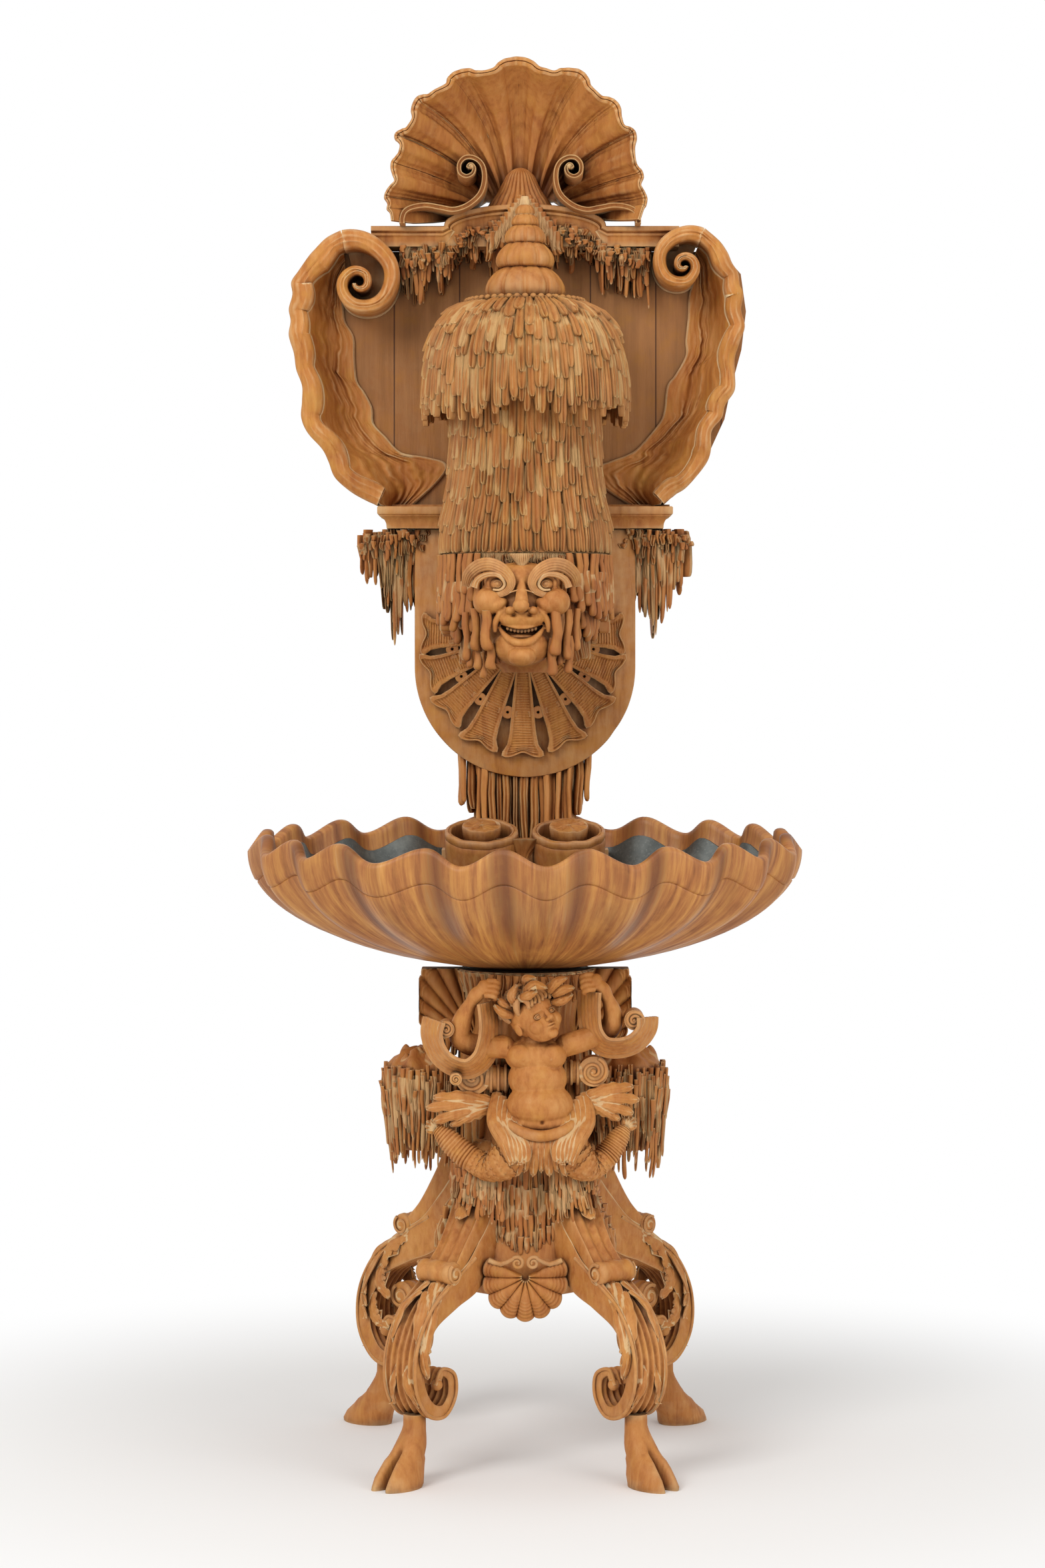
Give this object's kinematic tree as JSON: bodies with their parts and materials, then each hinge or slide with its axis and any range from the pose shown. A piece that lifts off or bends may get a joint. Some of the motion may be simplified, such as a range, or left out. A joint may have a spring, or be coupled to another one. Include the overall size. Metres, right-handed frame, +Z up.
{
  "type": "garden fountain",
  "caption": "Carved wooden fountain: a lead-lined shell basin on a hoofed pedestal, under a laughing mask spout, a thatched cistern, a shell niche and a shell crest.",
  "frame": {"origin": "on the floor, under the middle of the basin, halfway from its front rim to its back rim", "axes": "+Z up, -Y towards the viewer, +X to the viewer's right"},
  "size_m": [0.926, 0.8, 2.3931],
  "materials": {
    "painted_wood": "carved softwood under matt terracotta paint, worn to cream ground along the edges",
    "basin_wood": "carved wood, brown streaked paint with a low sheen",
    "bare_wood": "sawn, unpainted",
    "lead": null,
    "brass": "plain turned brass"
  },
  "bodies": {
    "root": {"apron_drips": "painted_wood", "arm_band_left": "painted_wood", "arm_band_right": "painted_wood", "back_spine": "bare_wood", "basin_bowl": "basin_wood", "basin_fan": "basin_wood", "basin_ledge": "basin_wood", "basin_liner": "lead", "basin_scroll_left": "painted_wood", "basin_scroll_right": "painted_wood", "basin_waste": "brass", "bracket_drips_left": "painted_wood", "bracket_drips_right": "painted_wood", "cistern_bell": "painted_wood", "cistern_tank": "lead", "cornice": "painted_wood", "cornice_fringe": "painted_wood", "crest_boss": "painted_wood", "crest_shell": "painted_wood", "fish_tail_left": "painted_wood", "fish_tail_right": "painted_wood", "front_shell": "painted_wood", "hoof_front_left": "painted_wood", "hoof_front_right": "painted_wood", "hoof_rear_left": "painted_wood", "hoof_rear_right": "painted_wood", "icicle_column": "painted_wood", "leg_front_left": "painted_wood", "leg_front_right": "painted_wood", "leg_rear_left": "painted_wood", "leg_rear_right": "painted_wood", "mask_block": "painted_wood", "mask_drips_left": "painted_wood", "mask_drips_right": "painted_wood", "mask_face": "painted_wood", "niche_frame_left": "painted_wood", "niche_frame_right": "painted_wood", "niche_panel": "painted_wood", "niche_scroll_left": "painted_wood", "niche_scroll_right": "painted_wood", "pedestal_core": "painted_wood", "pedestal_seat": "painted_wood", "plaque_board": "painted_wood", "plaque_fan": "painted_wood", "putto_arm_left": "painted_wood", "putto_arm_right": "painted_wood", "putto_head": "painted_wood", "putto_torso": "painted_wood", "seat_shell_left": "painted_wood", "seat_shell_right": "painted_wood", "shelf_moulding": "painted_wood", "side_drips_left": "painted_wood", "side_drips_right": "painted_wood", "spout_pipe": "lead", "supply_pipe": "lead", "waist_roll_left": "painted_wood", "waist_roll_right": "painted_wood"},
    "finial": {"finial_lid": "painted_wood"},
    "stopper": {"basin_stopper": "brass"}
  },
  "joints": [
    {"name": "finial_lift", "type": "slide", "parent": "root", "child": "finial", "axis": [0, 0, 1], "range_m": [0, 0.1]},
    {"name": "stopper_lift", "type": "slide", "parent": "root", "child": "stopper", "axis": [0, 0, 1], "range_m": [0, 0.06]}
  ]
}
